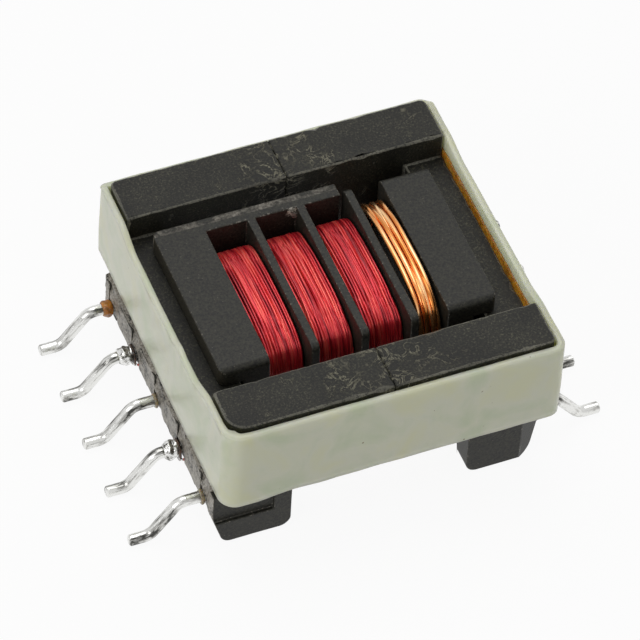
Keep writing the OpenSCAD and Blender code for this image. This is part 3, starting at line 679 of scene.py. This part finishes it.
def lumpAround(name, pin, start, end, shape, seed):
    y, z = pinAxis(pin)
    rings, sides, waveRound = lumpMesh["rings"], lumpMesh["sides"], lumpMesh["waveRound"]
    points = []
    for i in range(rings + 1):
        part = i / rings
        x = start + (end - start) * part
        arch = math.sin(math.pi * part) ** 0.5
        for k in range(sides):
            angle = 2 * math.pi * k / sides
            c, s = math.cos(angle), math.sin(angle)
            uneven = noise.noise(Vector((x / lumpMesh["waveAlong"], c * waveRound + seed, s * waveRound)))
            r = lumpMesh["wireR"] + shape["thin"] + (shape["swell"] + shape["uneven"] * uneven) * arch
            r += shape["sag"] * max(0, -s) * arch
            points.append((x, y + r * c, z + r * s))
    faces = ringFaces(rings, sides)
    if end < start:
        faces = [(a, d, c, b) for a, b, c, d in faces]  # so that the faces still look outwards
    return addPiece(name, meshFrom(name, points, faces))


for node in [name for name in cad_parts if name.startswith("solder_")]:
    low, high = boxOf(node)
    end = node.removeprefix("solder_")
    toSide = math.copysign(1, low.x)
    row = [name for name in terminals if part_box(name)[0].x * toSide > 0]
    pin = min(row, key=lambda name: abs(pinAxis(name)[0] - (low.y + high.y) / 2))
    lump = lumpAround("solderLump_" + end, pin, toSide * (railSide + solder["from"]),
                      toSide * max(abs(low.x), abs(high.x)), solder, len(node))
    setMaterials(lump, solderTin)
    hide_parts(node)
    # a near-black crust round each soldered terminal's root, just outside the rail
    crust = lumpAround("rootCrust_" + end, pin, toSide * (railSide + crusts["from"]),
                       toSide * (railSide + crusts["reach"]), crusts, len(node) + crusts["seed"])
    setMaterials(crust, darkRootCrust)

for pin, own in beadAt.items():
    bead = lumpAround("fluxBead_" + pin[-1], pin, -railSide - beads["from"], -railSide - own["reach"],
                      {**beads, **own}, own["seed"])
    setMaterials(bead, own["resin"])
print("solder and flux made")


# Impregnating varnish, dried: it fills the notches round the terminals nearly level with the rail's
# side, as a sheet that runs past the outer terminals and whose lower edge is ragged. It is hollow
# round each terminal, where hollowAt is a distance along the rail and hollowZ a height.
railVarnish = {"belowTape": 0.02, "tall": 2.8, "past": 1.2, "step": 0.12, "high": 0.08, "low": 0.3,
               "ragged": 0.18, "raggedWave": 0.5, "behind": 0.012, "proud": 0.03, "depth": 0.5,
               "uneven": 0.07, "sunk": 0.25, "waveY": 0.55, "waveZ": 0.4,
               "hollow": 0.1, "hollowAt": (0.35, 0.95), "hollowZ": 3.2, "hollowTall": 0.6}


def varnishSheet(name, side):
    high = boxOf("bobbin")[1]
    pins = sorted(pinAxis(pin)[0] for pin in terminals if pin.startswith("terminal_left_"))
    top = boxOf("tape_band")[0].z - railVarnish["belowTape"]
    foot = top - railVarnish["tall"]
    startY, endY = pins[0] - railVarnish["past"], pins[-1] + railVarnish["past"]
    countY = int((endY - startY) / railVarnish["step"])
    countZ = int((top - foot) / railVarnish["step"])
    points = []
    for i in range(countY + 1):
        for k in range(countZ + 1):
            y = startY + (endY - startY) * i / countY
            edge = Vector((y / railVarnish["raggedWave"], side * 3.0, 1.0))
            lowest = foot + railVarnish["low"] + railVarnish["ragged"] * noise.noise(edge)
            z = lowest + (top - railVarnish["high"] - lowest) * k / countZ
            near = min(abs(y - pin) for pin in pins)
            offAxis = smoothRise(abs(z - railVarnish["hollowZ"]), 0.0, railVarnish["hollowTall"])
            hollow = railVarnish["hollow"] * (1 - smoothRise(near, *railVarnish["hollowAt"])) * offAxis
            wave = Vector((y / railVarnish["waveY"], z / railVarnish["waveZ"], side * 9.0))
            x = high.x - railVarnish["behind"] - hollow
            x += railVarnish["uneven"] * (noise.noise(wave) - railVarnish["sunk"])
            onRim = min(i, k, countY - i, countZ - k) == 0  # the sheet's rim runs back into the rail
            x = min(x, high.x + railVarnish["proud"]) - (railVarnish["depth"] if onRim else 0)
            points.append((side * x, y, z))
    row = countZ + 1
    faces = []
    for i in range(countY):
        for k in range(countZ):
            a = i * row + k
            quad = (a, a + row, a + row + 1, a + 1)
            faces.append(quad if side > 0 else quad[::-1])
    sheet = addPiece(name, meshFrom(name, points, faces))
    setMaterials(sheet, phenolicRail)


varnishSheet("railVarnish_left", -1)
varnishSheet("railVarnish_right", 1)

# Varnish behind the fine sections: a lumpy fillet along the guard wall, with one blob at blobAt.
fillet = {"behind": 0.45, "belowTop": 0.35, "above": 0.34, "start": 0.1, "short": 0.2, "taper": 3,
          "swell": 0.19, "uneven": 0.14, "wave": 0.6, "blob": 0.34, "blobAt": 0.1, "blobWidth": 0.6,
          "rough": 0.35, "roughWave": 0.25, "taller": 1.3, "rings": 90, "sides": 12}


def guardFillet():
    low, high = boxOf("winding_fine_1")
    start = low.x + fillet["start"]
    long = boxOf("winding_fine_3")[1].x - fillet["short"] - start
    y, z = high.y + fillet["behind"], boxOf("bobbin")[1].z - fillet["belowTop"]
    points, rings, sides = [], fillet["rings"], fillet["sides"]
    for i in range(rings + 1):
        x = start + long * i / rings
        swell = fillet["swell"] + fillet["uneven"] * noise.noise(Vector((x / fillet["wave"], 2.0, 4.0)))
        swell += fillet["blob"] * math.exp(-((x - fillet["blobAt"]) / fillet["blobWidth"]) ** 2)
        swell *= min(1, i / fillet["taper"], (rings - i) / fillet["taper"])
        for k in range(sides):
            angle = 2 * math.pi * k / sides
            c, s = math.cos(angle), math.sin(angle)
            r = swell * (1 + fillet["rough"] * noise.noise(Vector((x / fillet["roughWave"], c, s))))
            points.append((x, y + r * c, z + min(fillet["taller"] * r * s, fillet["above"])))
    piece = addPiece("guardFillet", meshFrom("guardFillet", points, ringFaces(rings, sides)))
    setMaterials(piece, phenolicGuard)


guardFillet()
print("varnish made")


# The rest of the CAD pieces keep their own shape and get their metal or enamel.
finishes = {"terminal_": tin, "link_wire_": redLead, "lead_fine_": redLead, "lead_thick_": copperLead}
for name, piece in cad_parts.items():
    for start, material in finishes.items():
        if name.startswith(start):
            setMaterials(piece, material)
            for face in piece.data.polygons:
                face.use_smooth = True
print("finishes set")


# Studio: places and sizes are in metres, lamp power in watts. Sky is how brightly the world lights
# the object, seen the share of the floor that is plain white to the eye, and paperTooth the bumps
# of the paper to a metre.
studio = {"over": {"place": (0.02, 0.1, 0.26), "size": 0.2, "power": 0.25},
          "left": {"place": (-0.24, -0.1, 0.16), "size": 0.16, "power": 0.2},
          "sky": 0.4, "floorReach": 3.0, "floorColour": "#f7f7f7", "seen": 0.93, "paperTooth": 900}


def softLamp(name, lamp, target):
    data = bpy.data.lights.new(name, "AREA")
    data.shape = "SQUARE"
    data.size = lamp["size"]
    data.energy = lamp["power"]
    piece = bpy.data.objects.new(name, data)
    bpy.context.scene.collection.objects.link(piece)
    piece.location = lamp["place"]
    piece.rotation_euler = (target - Vector(lamp["place"])).to_track_quat("-Z", "Y").to_euler()


middle = (cadLow + cadHigh) / 2
softLamp("overheadLamp", studio["over"], middle)
softLamp("leftLamp", studio["left"], middle)

floorMesh = bpy.data.meshes.new("floor")
reach = studio["floorReach"]
floorMesh.from_pydata([(x * reach, y * reach, 0) for x, y in ((-1, -1), (1, -1), (1, 1), (-1, 1))],
                      [], [(0, 1, 2, 3)])
floor = bpy.data.objects.new("floor", floorMesh)
bpy.context.scene.collection.objects.link(floor)


# 1 where the eye, a reflection or a clear body looks straight at a surface, and 0 for other light
def seenDirectly(tree):
    rays = addNode(tree, "LightPath")
    seen = addNode(tree, "Math", {"operation": "MAXIMUM"},
                   {0: rays.outputs["Is Camera Ray"], 1: rays.outputs["Is Glossy Ray"]})
    seen = addNode(tree, "Math", {"operation": "MAXIMUM"},
                   {0: seen.outputs[0], 1: rays.outputs["Is Transmission Ray"]})
    return seen.outputs[0]


# White studio paper. The eye, and shiny things, see it near white; the object's shadow stays on it.
def studioPaper():
    material, tree, place = startMaterial("studioPaper")
    share = addNode(tree, "Math", {"operation": "MULTIPLY", 1: studio["seen"]}, {0: seenDirectly(tree)})
    tooth = addNode(tree, "TexNoise", {"Scale": studio["paperTooth"], "Detail": 2}, {"Vector": place})
    fibre = addNode(tree, "Bump", {"Strength": 0.02, "Distance": 0.02 * mm},
                    {"Height": tooth.outputs["Fac"]})
    matt = addNode(tree, "BsdfDiffuse", {"Color": linear(studio["floorColour"])},
                   {"Normal": fibre.outputs[0]})
    glow = addNode(tree, "Emission", {"Strength": 1.0})
    shader = addNode(tree, "MixShader", links={0: share.outputs[0], 1: matt.outputs[0], 2: glow.outputs[0]})
    addNode(tree, "OutputMaterial", links={"Surface": shader.outputs[0]})
    return material


setMaterials(floor, studioPaper())

world = bpy.data.worlds.new("studioSky")
bpy.context.scene.world = world
world.use_nodes = True
sky = world.node_tree
sky.nodes.clear()
level = addNode(sky, "MapRange", {"To Min": studio["sky"], "To Max": 1.0}, {"Value": seenDirectly(sky)})
light = addNode(sky, "Background", {}, {"Strength": level.outputs[0]})
addNode(sky, "OutputWorld", links={"Surface": light.outputs[0]})

bpy.context.scene.view_settings.view_transform = "Standard"

# Camera: a long lens from the front left, above. Angles are in degrees, and aim is a point in mm.
view = {"azimuth": -24.377, "elevation": 49.538, "roll": 3.558, "distance": 304.3, "lens": 296.4,
        "sensor": 36, "clipStart": 10, "aim": (-1.153, -2.239, 8.649)}

cameraData = bpy.data.cameras.new("camera")
cameraData.lens = view["lens"]
cameraData.sensor_width = view["sensor"]
cameraData.clip_start = view["clipStart"] * mm
camera = bpy.data.objects.new("camera", cameraData)
bpy.context.scene.collection.objects.link(camera)
azimuth, elevation = math.radians(view["azimuth"]), math.radians(view["elevation"])
back = Vector((math.sin(azimuth) * math.cos(elevation), -math.cos(azimuth) * math.cos(elevation),
               math.sin(elevation)))
right = Vector((math.cos(azimuth), math.sin(azimuth), 0))
up = back.cross(right)
turned = Matrix((right, up, back)).transposed().to_4x4() @ Matrix.Rotation(math.radians(view["roll"]), 4, "Z")
camera.matrix_world = Matrix.Translation((Vector(view["aim"]) + back * view["distance"]) * mm) @ turned
bpy.context.scene.camera = camera
print("studio made")
